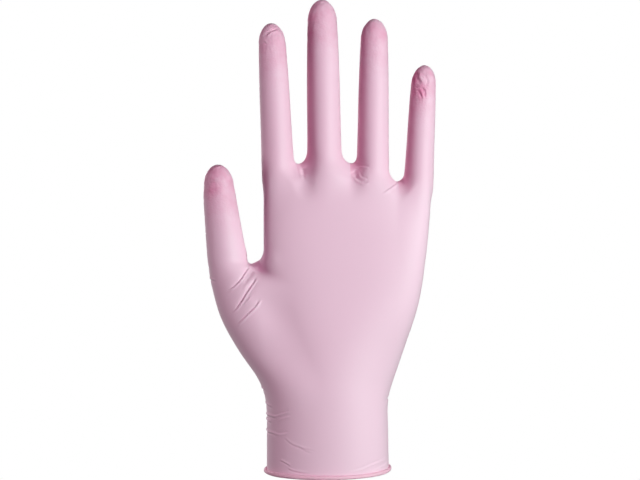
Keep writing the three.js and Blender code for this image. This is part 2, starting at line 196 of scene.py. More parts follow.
@dataclass(frozen=True)
class HandForm:
    """The smooth form that the hand inside gives the film.

    The crotches lie on an arc that drops to either side. The thumb's mound fills out round one
    height. A web closes the sleeve under the crotches, and a taut one joins the thumb to the palm
    from its low to its high end, each given across and up.
    """

    wrist_width: float = 61.4
    wrist_depth: float = 44.0
    palm_width: float = 85.0
    palm_depth: float = 31.0
    knuckle_shift: float = 10.1
    crotch_height: float = 158.0
    crotch_drop: float = 10.0
    lowest_crotch_at: float = 34.6
    web_height: float = 9.0
    thumb_crotch: float = 105.0
    thumb_length: float = 51.7
    thumb_width: float = 20.3
    thumb_depth: float = 20.5
    thumb_reach: float = 60.4
    thumb_dome: float = 0.68
    mound_blend: float = 7.0
    mound_fill: float = 5.5
    mound_fill_at: float = 97.0
    mound_fill_spread: float = 8.0
    thumb_web_low: tuple[float, float] = (-39.5, 102.2)
    thumb_web_high: tuple[float, float] = (-26.5, 108.5)
    thumb_web_radius: float = 3.2
    thumb_web_depth: float = 9.0
    thumb_web_blend: float = 1.8
    thumb_web_fillet: float = 4.6
    # where along the thumb's web its fillet widens, as shares of the web's length
    thumb_web_widens: tuple[float, float] = (0.35, 0.7)
    # the share of a fillet that is left where a finger's side runs on into the palm's side
    outer_fillet: float = 0.1
    # a valley is deepest this far below its crotch, and comes up between these distances from the
    # middle plane
    valley_drop: float = 6.0
    valley_sides: tuple[float, float] = (1.0, 7.5)
    # the form's distance is only roughly even, so its steepness is held between these
    steepness: tuple[float, float] = (0.3, 3.0)
    valleys: tuple[Valley, ...] = (
        Valley(-12.0, 2.8, 5.6, 9.5),
        Valley(12.6, 2.6, 4.6, 8.0),
        Valley(36.8, 1.6, 4.6, 7.5),
    )
    # the index, middle, ring and little finger
    fingers: tuple[Finger, ...] = (
        Finger(75.5, 16.3, -25.0, -3.5, 0.045, outer=-1),
        Finger(82.2, 17.2, -1.5, -1.3, 0.015, fillet=6.6),
        Finger(76.8, 16.1, 22.9, 0.9, 0.03),
        Finger(59.0, 14.7, 46.2, 2.9, 0.05, outer=1),
    )
    sleeve: tuple[SleeveRow, ...] = (
        SleeveRow(0.0, 0.02, 0.0, 2.08),
        SleeveRow(0.14, 0.0, 0.0, 2.08),
        SleeveRow(0.25, 0.0, 0.02, 2.1),
        SleeveRow(0.32, 0.12, 0.1, 2.02),
        SleeveRow(0.43, 0.37, 0.3, 2.2),
        SleeveRow(0.58, 0.69, 0.66, 3.1),
        SleeveRow(0.73, 0.85, 0.96, 4.0),
        SleeveRow(0.85, 0.93, 1.27, 4.2),
        SleeveRow(1.0, 0.94, 2.05, 3.6),
    )
    shaft: tuple[ShaftRow, ...] = (
        ShaftRow(-0.24, 0.72, 1.0),
        ShaftRow(-0.08, 0.98, 1.1),
        ShaftRow(0.0, 1.02, 1.11),
        ShaftRow(0.16, 1.0, 1.06),
        ShaftRow(0.45, 0.99, 0.99),
        ShaftRow(0.7, 0.94, 0.92),
        ShaftRow(0.86, 0.88, 0.84),
        ShaftRow(1.0, 0.82, 0.75),
    )
    thumb: tuple[ThumbRow, ...] = (
        ThumbRow(0.2, 0.38, 1.0, 1.1),
        ThumbRow(0.34, 0.45, 1.4, 1.6),
        ThumbRow(0.45, 0.567, 1.8, 1.78),
        ThumbRow(0.6, 0.75, 2.0, 1.62),
        ThumbRow(0.75, 0.892, 2.0, 1.52),
        ThumbRow(0.9, 0.969, 1.84, 1.34),
        ThumbRow(1.0, 0.998, 1.1, 1.03),
        ThumbRow(1.14, 1.012, 0.99, 0.97),
        ThumbRow(1.4, 1.027, 0.9, 0.88),
        ThumbRow(1.7, 1.04, 0.8, 0.78),
        ThumbRow(2.0, 1.022, 0.61, 0.64),
    )

    def crotch_line(self, x: Array) -> Array:
        """Returns the height of the line of the crotches at each place across."""
        share = np.clip(np.asarray(x) / self.lowest_crotch_at, -1, 1)
        return self.crotch_height - self.crotch_drop * share**2

    def fullness(self, share: Array) -> Array:
        """Returns how square the sleeve's section is at shares of the crotches' height."""
        return curve_of(self.sleeve, "height", "fullness")(share)

    def sleeve_section(self, share: Array) -> tuple[Array, Array, Array]:
        """Gives the sleeve's section.

        Args:
            share: heights, as shares of the crotches' height.

        Returns:
            Its middle across, half its width and half its depth there.
        """
        spread = curve_of(self.sleeve, "height", "spread")(share)
        slim = curve_of(self.sleeve, "height", "slim")(share)
        width = self.wrist_width + (self.palm_width - self.wrist_width) * spread
        depth = self.wrist_depth + (self.palm_depth - self.wrist_depth) * slim
        return self.knuckle_shift * spread, width / 2, depth / 2

    def outside_sleeve(self, x: Array, y: Array, z: Array) -> Array:
        """Measures the sleeve, which closes in a web under the crotches.

        Args:
            x: places across.
            y: places from the middle plane.
            z: heights.

        Returns:
            How far the points lie outside it.
        """
        line = self.crotch_line(x)
        middle, half_width, half_depth = self.sleeve_section(z / line)
        into_web = np.maximum(z - (line - self.web_height), 0)
        none = np.zeros_like(x)
        side = beyond(x - middle, y, half_width, half_depth, self.fullness(z / line), none, 1.0)
        web = beyond(none, y, half_depth, half_depth, 2.0, into_web, self.web_height)
        return np.maximum(side, web)

    def finger_section(self, finger: Finger, z: Array) -> tuple[Array, Array, Array]:
        """Gives a finger's section.

        Args:
            finger: the finger.
            z: heights.

        Returns:
            Its middle across, half its width and half its depth there.
        """
        along = (z - float(self.crotch_line(finger.root))) / finger.length
        girth = finger.width * (1 - finger.slim * eased(along, 0.05, 0.45))
        width = girth * curve_of(self.shaft, "along", "width")(along)
        depth = girth * curve_of(self.shaft, "along", "depth")(along)
        return finger.root + finger.lean * np.maximum(along, 0), width / 2, depth / 2

    def outside_finger(self, finger: Finger, x: Array, y: Array, z: Array) -> Array:
        """Measures a finger, whose foot is inside the sleeve.

        Args:
            finger: the finger.
            x: places across.
            y: places from the middle plane.
            z: heights.

        Returns:
            How far the points lie outside it.
        """
        height = z - float(self.crotch_line(finger.root))
        middle, half_width, half_depth = self.finger_section(finger, z)
        dome = finger.dome * finger.width
        foot = self.shaft[0].along * finger.length
        end = np.maximum(np.maximum(height - (finger.length - dome), foot - height), 0)
        return beyond(x - middle, y, half_width, half_depth, 2.0, end, dome)

    def thumb_section(self, z: Array) -> tuple[Array, Array, Array]:
        """Gives the section of the thumb with its mound.

        Args:
            z: heights.

        Returns:
            Its middle across, half its width and half its depth there.
        """
        past = z - self.thumb_crotch
        at = 1 + np.where(past < 0, past / self.thumb_crotch, past / self.thumb_length)
        width = self.thumb_width * curve_of(self.thumb, "height", "width")(at)
        depth = self.thumb_depth * curve_of(self.thumb, "height", "depth")(at)
        outer = self.thumb_reach * curve_of(self.thumb, "height", "outer")(at)
        return width / 2 - outer, width / 2, depth / 2

    def outside_thumb(self, x: Array, y: Array, z: Array) -> Array:
        """Measures the thumb with its mound.

        Args:
            x: places across.
            y: places from the middle plane.
            z: heights.

        Returns:
            How far the points lie outside it.
        """
        middle, half_width, half_depth = self.thumb_section(z)
        dome = self.thumb_dome * self.thumb_width * self.thumb[-1].width
        top = self.thumb_crotch + self.thumb_length
        foot = self.thumb[0].height * self.thumb_crotch
        end = np.maximum(np.maximum(z - (top - dome), foot - z), 0)
        return beyond(x - middle, y, half_width, half_depth, 2.0, end, dome)

    def outside_thumb_web(self, x: Array, y: Array, z: Array) -> tuple[Array, Array]:
        """Measures the taut web between thumb and palm.

        Args:
            x: places across.
            y: places from the middle plane.
            z: heights.

        Returns:
            How far the points lie outside it, and how far they are along it, from 0 to 1.
        """
        (x0, z0), (x1, z1) = self.thumb_web_low, self.thumb_web_high
        run, rise = x1 - x0, z1 - z0
        t = np.clip(((x - x0) * run + (z - z0) * rise) / (run * run + rise * rise), 0, 1)
        radius = self.thumb_web_radius
        y = y * radius / (radius + (self.thumb_web_depth - radius) * t)
        gap = np.sqrt((x - x0 - t * run) ** 2 + y**2 + (z - z0 - t * rise) ** 2)
        return gap - radius, t

    def valley_depth(self, x: Array, y: Array, z: Array) -> Array:
        """Measures the valleys on the front and back, which fade out towards the middle plane.

        Args:
            x: places across.
            y: places from the middle plane.
            z: heights.

        Returns:
            How deep the valleys are there, deepest a drop below their crotch.
        """
        depth = np.zeros_like(x)
        for valley in self.valleys:
            sideways = (x - valley.across) / valley.half_width
            up = z - (float(self.crotch_line(valley.across)) - self.valley_drop)
            depth += valley.depth * np.exp(-(sideways**2) - (up / valley.half_length) ** 2)
        return depth * eased(np.abs(y), *self.valley_sides)

    def outside(self, place: Array) -> Array:
        """Measures how far points lie outside the whole form.

        Args:
            place: one row for each point, in millimetres.

        Returns:
            About the distance of each, below 0 inside.
        """
        x, y, z = place.T
        filled = self.mound_fill * np.exp(-(((z - self.mound_fill_at) / self.mound_fill_spread) ** 2))
        mound = self.mound_blend + filled
        form = blended(self.outside_sleeve(x, y, z), self.outside_thumb(x, y, z), mound)
        web, along = self.outside_thumb_web(x, y, z)
        fillet = eased(along, *self.thumb_web_widens) * (self.thumb_web_fillet - self.thumb_web_blend)
        form = blended(form, web, self.thumb_web_blend + fillet)
        for finger in self.fingers:
            beside = (x - finger.root) * finger.outer / finger.width
            fillet = finger.fillet * (1 - (1 - self.outer_fillet) * eased(beside, 0.25, 0.5))
            form = blended(form, self.outside_finger(finger, x, y, z), fillet)
        return form + self.valley_depth(x, y, z)

    def way_out(self, place: Array, probe: float = 0.02) -> tuple[Array, Array]:
        """Finds the way out of the form, to first order.

        Args:
            place: one row for each point.
            probe: how far to either side the steepness is felt for.

        Returns:
            The distance of each point from the surface, and the direction out as a row for each.
        """
        value = self.outside(place)
        way = np.empty_like(place)
        for axis in range(3):
            step = np.zeros(3)
            step[axis] = probe
            way[:, axis] = (self.outside(place + step) - self.outside(place - step)) / (2 * probe)
        length = np.linalg.norm(way, axis=1)
        steepness = np.clip(length, *self.steepness)
        return value / steepness, way / np.maximum(length, 1e-9)[:, None]

    def tips(self) -> list[tuple[float, float, float]]:
        """Finds the fingertips.

        Returns:
            The place across, the height and the width of each, the thumb's first.
        """
        thumb_top = self.thumb_crotch + self.thumb_length
        thumb_middle, thumb_half, _ = self.thumb_section(np.array([thumb_top]))
        found = [(float(thumb_middle[0]), thumb_top, 2 * float(thumb_half[0]))]
        for finger in self.fingers:
            top = float(self.crotch_line(finger.root)) + finger.length
            found.append((finger.root + finger.lean, top, finger.width))
        return found


@dataclass(frozen=True)
class Crease:
    """A fold in the film: a lip and a groove on either side of a smooth line.

    The points give the line across and up. The lip is on the left of the line's direction, as seen
    from the crease's side with +Z upwards and the across axis to the right. half is the half width
    of the lip and of the groove.
    """

    points: tuple[tuple[float, float], ...]
    rise: float
    trough: float
    half: float
    side: Side = Side.FRONT

    def line(self, steps: int = 10) -> Array:
        """Draws the smooth line through the points.

        Args:
            steps: how many steps it has for each point given.

        Returns:
            The places across and up of its steps, as a row for each.
        """
        given = np.array(self.points)
        if len(given) == 2:
            return given[0] + np.linspace(0, 1, 2 * steps)[:, None] * (given[1] - given[0])
        span = np.linalg.norm(np.diff(given, axis=0), axis=1)
        along = np.concatenate([[0], np.cumsum(span)])
        at = np.linspace(0, along[-1], steps * len(given))
        columns = [Curve(tuple(along), tuple(given[:, k]))(at) for k in range(2)]
        return np.stack(columns, axis=1)

    def seen(self, place: Array) -> tuple[Array, Array]:
        """Returns the places across and up of points, as the crease's side is looked at."""
        return place[:, self.side.value[0]], place[:, 2]

    def close(self, place: Array, reach: float) -> Array:
        """Tells which points are near the line, on the crease's half of the glove.

        Args:
            place: one row for each point.
            reach: how near they have to be.

        Returns:
            Whether each point is.
        """
        x, z = self.seen(place)
        spots = self.line()
        low, high = spots.min(axis=0) - reach, spots.max(axis=0) + reach
        _, facing, sign = self.side.value
        middle = float(np.median(place[:, facing])) if facing == 0 else 0.0
        near = (x > low[0]) & (x < high[0]) & (z > low[1]) & (z < high[1])
        near &= (place[:, facing] - middle) * sign > 0
        gap = np.stack([x[near], z[near]], axis=1)[:, None, :] - spots
        near[near] = (np.linalg.norm(gap, axis=-1) < reach).any(axis=1)
        return near

    def lift(self, place: Array) -> Array:
        """Measures the crease, which swells up from its first end and fades out to its last.

        Args:
            place: one row for each point.

        Returns:
            How far it lifts the film at each, below 0 where it sinks it.
        """
        x, z = self.seen(place)
        line = self.line()
        reach = 5 * self.half
        low, high = line.min(axis=0) - reach, line.max(axis=0) + reach
        near = (x > low[0]) & (x < high[0]) & (z > low[1]) & (z < high[1])
        lift = np.zeros_like(x)
        if not near.any():
            return lift
        place = np.stack([x[near], z[near]], axis=1)[:, None, :]
        start, way = line[:-1], np.diff(line, axis=0)
        length = np.linalg.norm(way, axis=1)
        t = np.clip(((place - start) * way).sum(-1) / length**2, 0, 1)
        gap = place - start - t[..., None] * way
        distance = np.linalg.norm(gap, axis=-1)
        best = distance.argmin(axis=1)
        rows = np.arange(len(best))
        away = distance[rows, best]
        turned = way[best, 0] * gap[rows, best, 1] - way[best, 1] * gap[rows, best, 0]
        signed = np.where(turned >= 0, away, -away)
        done = np.concatenate([[0], np.cumsum(length)])
        along = (done[best] + t[rows, best] * length[best]) / done[-1]
        # it is at its fullest from a seventh to two thirds of its length
        swell = eased(along, 0.0, 0.15) * (1 - eased(along, 0.65, 1.0))
        lip = np.exp(-(((signed - self.half) / self.half) ** 2))
        groove = np.exp(-(((signed + self.half) / self.half) ** 2))
        lift[near] = (self.rise * lip - self.trough * groove) * swell
        return lift


def linear(hex_colour: str) -> tuple[float, float, float, float]:
    """Turns an sRGB hex colour into a linear one.

    Args:
        hex_colour: the colour as #RRGGBB.

    Returns:
        Its linear red, green and blue, and full alpha.
    """
    channels = [int(hex_colour[i : i + 2], 16) / 255 for i in (1, 3, 5)]
    turned = [c / 12.92 if c <= 0.04045 else ((c + 0.055) / 1.055) ** 2.4 for c in channels]
    return (*turned, 1.0)


def add_node(
    tree: bpy.types.NodeTree, kind: str, links: dict | None = None, **settings: object
) -> bpy.types.Node:
    """Adds a node to a tree.

    Args:
        tree: the node tree.
        kind: the node's type name.
        links: what feeds each input: a socket, or a value to set on it.
        settings: properties of the node itself.

    Returns:
        The new node.
    """
    made = tree.nodes.new(kind)
    for name, value in settings.items():
        setattr(made, name, value)
    for name, value in (links or {}).items():
        if isinstance(value, bpy.types.NodeSocket):
            tree.links.new(value, made.inputs[name])
        else:
            made.inputs[name].default_value = value
    return made


@dataclass(frozen=True)
class DippedNitrile:
    """Nitrile rubber film, dipped on a textured former: satin, with a fine even grain.

    It is palest where the hand stretches it and deepest pink where it is slack or thick, as at the
    fingertips and in the rolled edge. The deeper pink on the fingers' sides towards the thumb is
    painted shade, for the next finger's shadow and the pink light that it throws back. The piece's
    slack attribute says where it is leathery, and its pink attribute how deep its colour is, with that
    painted shade. The former's own grain is about 0.1 mm, too fine to show, so it is drawn three
    times as coarse. Slack film has a grain of nearly 1 mm and is mottled in spots of about 7 mm.
    """

    name: str
    pale: str = "#F0C8DB"
    # the deep pink also paints shade on the fingers' sides towards the thumb
    deep: str = "#E07FA8"
    roughness: float = 0.52
    ior: float = 1.5
    specular: float = 0.35
    grain: float = 0.35
    grain_depth: float = 0.1
    grain_strength: float = 0.12
    tip_grain: float = 0.9
    tip_depth: float = 0.25
    mottle: float = 7.0

    def build(self) -> bpy.types.Material:
        """Makes the material.

        Returns:
            The new material.
        """
        material = bpy.data.materials.new(self.name)
        material.use_nodes = True
        tree = material.node_tree
        tree.nodes.clear()
        place = add_node(tree, "ShaderNodeTexCoord").outputs["Object"]
        slack = add_node(tree, "ShaderNodeAttribute", attribute_name="slack").outputs["Fac"]
        # the pink attribute holds painted shade on the fingers' sides towards the thumb as well as the
        # film's tone
        pink = add_node(tree, "ShaderNodeAttribute", attribute_name="pink").outputs["Fac"]
        mottle = add_node(
            tree,
            "ShaderNodeTexNoise",
            {"Vector": place, "Scale": 1 / (self.mottle * MM), "Detail": 4.0, "Roughness": 0.6},
        )
        uneven = add_node(
            tree,
            "ShaderNodeMath",
            {0: mottle.outputs["Fac"], 1: 0.5},
            operation="SUBTRACT",
        )
        spread = add_node(tree, "ShaderNodeMath", {0: uneven.outputs[0], 1: slack}, operation="MULTIPLY")
        share = add_node(
            tree, "ShaderNodeMath", {0: spread.outputs[0], 1: pink}, operation="ADD", use_clamp=True
        )
        colour = add_node(
            tree,
            "ShaderNodeMix",
            {"Factor": share.outputs[0], "A": linear(self.pale), "B": linear(self.deep)},
            data_type="RGBA",
        )
        fine = add_node(
            tree,
            "ShaderNodeTexNoise",
            {"Vector": place, "Scale": 1 / (self.grain * MM), "Detail": 2.0},
        )
        coarse = add_node(
            tree,
            "ShaderNodeTexNoise",
            {"Vector": place, "Scale": 1 / (self.tip_grain * MM), "Detail": 3.0},
        )
        skin = add_node(
            tree,
            "ShaderNodeBump",
            {
                "Height": fine.outputs["Fac"],
                "Strength": self.grain_strength,
                "Distance": self.grain_depth * MM,
            },
        )
        tips = add_node(
            tree,
            "ShaderNodeBump",
            {
                "Height": coarse.outputs["Fac"],
                "Strength": slack,
                "Distance": self.tip_depth * MM,
                "Normal": skin.outputs["Normal"],
            },
        )
        surface = add_node(
            tree,
            "ShaderNodeBsdfPrincipled",
            {
                "Base Color": colour.outputs["Result"],
                "Roughness": self.roughness,
                "IOR": self.ior,
                "Specular IOR Level": self.specular,
                "Normal": tips.outputs["Normal"],
            },
        )
        add_node(tree, "ShaderNodeOutputMaterial", {"Surface": surface.outputs["BSDF"]})
        return material


class Ring(NamedTuple):
    """One section of a tube: its middle across, its height, and half its width and depth."""

    middle: float
    height: float
    half_width: float
    half_depth: float


def points_of(mesh: bpy.types.Mesh) -> Array:
    """Reads the points of a mesh.

    Args:
        mesh: the mesh.

    Returns:
        A row for each point.
    """
    place = np.empty(3 * len(mesh.vertices))
    mesh.vertices.foreach_get("co", place)
    return place.reshape(-1, 3)


def finished(mesh: bpy.types.Mesh, values: dict[str, Array], finish: DippedNitrile) -> bpy.types.Object:
    """Turns a mesh in millimetres into a finished piece in metres.

    Args:
        mesh: the mesh, whose name the piece takes.
        values: what its finish reads, as an attribute's name with its value at each point.
        finish: its finish.

    Returns:
        The piece's object.
    """
    for name, each in values.items():
        mesh.attributes.new(name, "FLOAT", "POINT").data.foreach_set("value", each)
    mesh.materials.append(finish.build())
    mesh.transform(Matrix.Scale(MM, 4))
    mesh.shade_smooth()
    piece = bpy.data.objects.new(mesh.name, mesh)
    bpy.context.scene.collection.objects.link(piece)
    return piece


def tube(rings: Sequence[Ring], sides: int = 24) -> bmesh.types.BMesh:
    """Extrudes a closed tube through a row of sections.

    Args:
        rings: the sections, from one end to the other.
        sides: the number of sides round the tube.

    Returns:
        A new bmesh, in millimetres.
    """
    body = bmesh.new()
    first = rings[0]
    made = bmesh.ops.create_circle(body, cap_ends=True, radius=1.0, segments=sides)
    loop = made["verts"]
    bmesh.ops.scale(body, vec=(first.half_width, first.half_depth, 1.0), verts=loop)
    bmesh.ops.translate(body, vec=(first.middle, 0.0, first.height), verts=loop)
    cap = body.faces[:]
    for before, ring in zip(rings, rings[1:]):
        grown = bmesh.ops.extrude_face_region(body, geom=cap, use_keep_orig=before is first)
        cap = [part for part in grown["geom"] if isinstance(part, bmesh.types.BMFace)]
        loop = [part for part in grown["geom"] if isinstance(part, bmesh.types.BMVert)]
        share = (ring.half_width / before.half_width, ring.half_depth / before.half_depth, 1.0)
        back = Matrix.Translation((-before.middle, 0.0, -before.height))
        bmesh.ops.scale(body, vec=share, verts=loop, space=back)
        shift = (ring.middle - before.middle, 0.0, ring.height - before.height)
        bmesh.ops.translate(body, vec=shift, verts=loop)
    bmesh.ops.recalc_face_normals(body, faces=body.faces[:])
    return body


@dataclass(frozen=True)
class Blush:
    """A patch of slack, crumpled film, which looks deeper pink and fades out from its middle."""

    across: float
    up: float
    half_width: float
    half_height: float
    depth: float
    side: Side = Side.FRONT

    def strength(self, place: Array) -> Array:
        """Measures the patch.

        Args:
            place: one row for each point.

        Returns:
            How strong it is at each, from 0 to its depth.
        """
        across, facing, sign = self.side.value
        x = (place[:, across] - self.across) / self.half_width
        z = (place[:, 2] - self.up) / self.half_height
        here = place[:, facing] * sign > 0
        return self.depth * np.exp(-x * x - z * z) * here


class Shade(NamedTuple):
    """Shares of the deep pink: at the tips, in the patches, along the fingers and on their sides."""

    tip: float = 0.36
    patch: float = 0.45
    finger: float = 0.1
    # the share on the fingers' sides towards the thumb is painted shade from the next finger
    side: float = 0.46


@dataclass
class GloveSkin:
    """The film of the glove, from the fingertips to the rolled edge.

    The tubes start below the mouth, where the film is cut open. Faces are split near a crease and
    again at it, and near the fingertips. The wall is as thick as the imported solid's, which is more
    than real film has.
    """

    form: HandForm
    creases: tuple[Crease, ...]
    blushes: tuple[Blush, ...]
    finish: DippedNitrile = DippedNitrile("dipped_nitrile")
    rough: float = 2.0
    fine: float = 1.2
    inner: float = 2.4
    quick_factor: float = 1.6
    wall: float = 1.3
    mouth: float = 1.6
    mouth_band: float = 0.8
    below: float = 7.0
    sleeve_steps: tuple[float, ...] = (10.0, 30.0, 45.0, 60.0, 80.0, 100.0, 120.0, 135.0, 147.0)
    thumb_steps: tuple[float, ...] = (24.0, 36.0, 48.0, 62.0, 78.0, 92.0, 104.0, 120.0, 140.0, 152.0)
    finger_steps: tuple[float, ...] = (-0.2, 0.0, 0.3, 0.6, 0.85, 0.95)
    web_tube: float = 3.0
    near_crease: float = 3.0
    at_crease: float = 1.3
    tip_zone: float = 18.0
    tip_fade: tuple[float, float] = (46.0, 4.0)
    shade: Shade = Shade()
    rough_rounds: int = 6
    fine_rounds: int = 3
    longest_move: float = 2.0
    crumple: float = 0.16
    crumple_size: float = 2.2
    crumple_from: float = 0.2

    def tubes(self) -> Iterable[bmesh.types.BMesh]:
        """Makes the rough closed tubes that the film grows from.

        Yields:
            One for the sleeve, the thumb, its web and each finger.
        """
        form = self.form
        heights = np.array([-self.below, *self.sleeve_steps])
        yield self.tube_through(*form.sleeve_section(heights / form.crotch_height), heights)
        heights = np.array(self.thumb_steps)
        yield self.tube_through(*form.thumb_section(heights), heights)
        (low_x, low_z), (high_x, high_z) = form.thumb_web_low, form.thumb_web_high
        radii = np.array([self.web_tube, self.web_tube])
        heights = np.array([low_z - self.web_tube, high_z])
        yield self.tube_through(np.array([low_x, high_x]), radii, radii, heights)
        for finger in form.fingers:
            root = float(form.crotch_line(finger.root))
            heights = root + finger.length * np.array(self.finger_steps)
            yield self.tube_through(*form.finger_section(finger, heights), heights)

    @staticmethod
    def tube_through(middles: Array, widths: Array, depths: Array, heights: Array) -> bmesh.types.BMesh:
        """Makes a tube through sections given as columns."""
        rows = zip(middles, heights, widths, depths)
        return tube([Ring(*(float(value) for value in row)) for row in rows])

    def joined(self) -> bpy.types.Mesh:
        """Puts the tubes into one mesh.

        Returns:
            A new mesh, in which they still overlap.
        """
        whole = bmesh.new()
        for part in self.tubes():
            loose = bpy.data.meshes.new("tube")
            part.to_mesh(loose)
            part.free()
            whole.from_mesh(loose)
            bpy.data.meshes.remove(loose)
        mesh = bpy.data.meshes.new("tubes")
        whole.to_mesh(mesh)
        whole.free()
        return mesh

    @staticmethod
    def grown(mesh: bpy.types.Mesh, cell: float) -> bpy.types.Mesh:
        """Grows a mesh into one closed body with even faces.

        Args:
            mesh: the mesh, which is used up.
            cell: the size of the new faces.

        Returns:
            A new mesh.
        """
        holder = bpy.data.objects.new("grown", mesh)
        bpy.context.scene.collection.objects.link(holder)
        remesh = holder.modifiers.new("grow", "REMESH")
        remesh.mode = "VOXEL"
        remesh.voxel_size = cell
        remesh.adaptivity = 0.0
        graph = bpy.context.evaluated_depsgraph_get()
        result = bpy.data.meshes.new_from_object(holder.evaluated_get(graph))
        bpy.data.objects.remove(holder)
        bpy.data.meshes.remove(mesh)
        return result

    def drawn(self, mesh: bpy.types.Mesh, depth: float, rounds: int) -> bpy.types.Mesh:
        """Draws a mesh onto the form's surface, evenly spread.

        Args:
            mesh: a mesh near the form.
            depth: how far under the form's surface it goes.
            rounds: how many times its points are evened out between the steps.

        Returns:
            The same mesh.
        """
        place = points_of(mesh)
        ends = np.empty(2 * len(mesh.edges), dtype=np.int64)
        mesh.edges.foreach_get("vertices", ends)
        one, other = ends.reshape(-1, 2).T
        count = np.bincount(ends, minlength=len(place))[:, None]
        for _ in range(rounds):
            total = np.zeros_like(place)
            for axis in range(3):
                total[:, axis] = np.bincount(one, place[other, axis], len(place))
                total[:, axis] += np.bincount(other, place[one, axis], len(place))
            place = 0.5 * place + 0.5 * total / count
            place = self.settled(place, depth)
        place = self.settled(place, depth, steps=3)
        mesh.vertices.foreach_set("co", place.ravel())
        mesh.update()
        return mesh

    def settled(self, place: Array, depth: float, steps: int = 2) -> Array:
        """Moves points straight to the form's surface.

        Args:
            place: one row for each point.
            depth: how far under the surface they go.
            steps: how many moves they make.

        Returns:
            Where they are then.
        """
        for _ in range(steps):
            distance, way = self.form.way_out(place)
            move = np.clip(distance + depth, -self.longest_move, self.longest_move)
            place = place - move[:, None] * way
        return place

    def open_shell(self, cell: float, depth: float) -> bmesh.types.BMesh:
        """Makes one wall of the film, open at the mouth.

        Args:
            cell: the size of its faces.
            depth: how far under the form's surface it is.

        Returns:
            A new bmesh, in millimetres.
        """
        mesh = self.drawn(self.grown(self.joined(), self.rough), depth, self.rough_rounds)
        mesh = self.drawn(self.grown(mesh, cell), depth, self.fine_rounds)
        shell = bmesh.new()
        shell.from_mesh(mesh)
        bpy.data.meshes.remove(mesh)
        bmesh.ops.bisect_plane(
            shell,
            geom=shell.verts[:] + shell.edges[:] + shell.faces[:],
            dist=1e-4,
            plane_co=(0, 0, self.mouth),
            plane_no=(0, 0, 1),
            clear_inner=True,
        )
        bmesh.ops.recalc_face_normals(shell, faces=shell.faces[:])
        return shell

    def refined(self, shell: bmesh.types.BMesh) -> None:
        """Splits the faces along the creases and at the fingertips, where the film is finely folded.

        Args:
            shell: the outer wall.
        """
        for reach in (self.near_crease, self.at_crease):
            place = np.array([vert.co[:] for vert in shell.verts])
            chosen = np.zeros(len(place), dtype=bool)
            for crease in self.creases:
                chosen |= crease.close(place, reach)
            if reach == self.near_crease:
                for across, top, width in self.form.tips():
                    beside = np.abs(place[:, 0] - across) < width
                    chosen |= beside & (place[:, 2] > top - self.tip_zone)
            chosen &= place[:, 2] > self.mouth + self.mouth_band
            shell.verts.index_update()
            edges = [e for e in shell.edges if chosen[e.verts[0].index] and chosen[e.verts[1].index]]
            bmesh.ops.subdivide_edges(shell, edges=edges, cuts=1, use_grid_fill=True)
            place = np.array([vert.co[:] for vert in shell.verts])
            # the cut edge stays where it is
            lowest = place[:, 2] <= self.mouth + 0.01
            settled = np.where(lowest[:, None], place, self.settled(place, 0.0))
            for vert, spot in zip(shell.verts, settled):
                vert.co = spot

    def near_tips(self, place: Array) -> Array:
        """Measures how near points are to a fingertip.

        Args:
            place: one row for each point.

        Returns:
            1 at a tip, and less down to 0 well below it.
        """
        near = np.zeros(len(place))
        for across, top, width in self.form.tips():
            beside = 1 - eased(np.abs(place[:, 0] - across), width * 0.75, width * 1.1)
            low, high = (top - down for down in self.tip_fade)
            near = np.maximum(near, beside * eased(place[:, 2], low, high))
        return near

    def patches(self, place: Array) -> Array:
        """Returns how strong the crumpled patches are at each point."""
        return sum(blush.strength(place) for blush in self.blushes)

    def slackness(self, place: Array) -> Array:
        """Returns how slack and so how leathery the film is at each point."""
        return np.clip(self.near_tips(place) + self.patches(place), 0, 1.5)

    def pink_with_painted_shade(self, place: Array) -> Array:
        """Measures how deep pink the film is: at the tips, in patches, along the fingers, and as painted
        shade on their sides towards the thumb.

        Args:
            place: one row for each point.

        Returns:
            The share of the deep pink at each.
        """
        pink = self.shade.tip * self.near_tips(place)
        x, _, z = place.T
        for finger in self.form.fingers:
            middle, half_width, _ = self.form.finger_section(finger, z)
            aside = (middle - x) / half_width
            root = float(self.form.crotch_line(finger.root))
            # from a little under its root upwards; the extra deep pink on its side towards the thumb
            # is painted shade, for the next finger's shadow and the pink light that it throws back
            here = (np.abs(aside) < 1.4) * eased(z, root - 10.0, root + 5.0)
            side = 0.0 if finger.outer < 0 else self.shade.side * eased(aside, 0.2, 0.9)
            pink = np.maximum(pink, (self.shade.finger + side) * here)
        return pink + self.shade.patch * self.patches(place)

    def crumpled(self, place: Array, slack: Array) -> Array:
        """Crumples the film finely where it is slack.

        Args:
            place: one row for each point.
            slack: how slack the film is at each.

        Returns:
            How far the film stands out at each.
        """
        lift = np.zeros(len(place))
        for index in np.flatnonzero(slack > self.crumple_from):
            lift[index] = noise.fractal(Vector(place[index]) / self.crumple_size, 1.0, 2.0, 3)
        return self.crumple * lift * np.clip(slack - self.crumple_from, 0, 1)

    def pressed(self, mesh: bpy.types.Mesh, outer: Array) -> None:
        """Presses the creases and crumples into the outer wall.

        Args:
            mesh: the film, in millimetres.
            outer: 1 for each point of the outer wall and 0 for the others.
        """
        place = points_of(mesh)
        normal = np.empty(place.size)
        mesh.vertex_normals.foreach_get("vector", normal)
        normal = normal.reshape(-1, 3)
        lift = self.crumpled(place, self.slackness(place))
        for crease in self.creases:
            _, axis, sign = crease.side.value
            # it fades out where the film turns away from its side
            lift += eased(normal[:, axis] * sign, -0.15, 0.25) * crease.lift(place)
        place += (outer * lift)[:, None] * normal
        mesh.vertices.foreach_set("co", place.ravel())

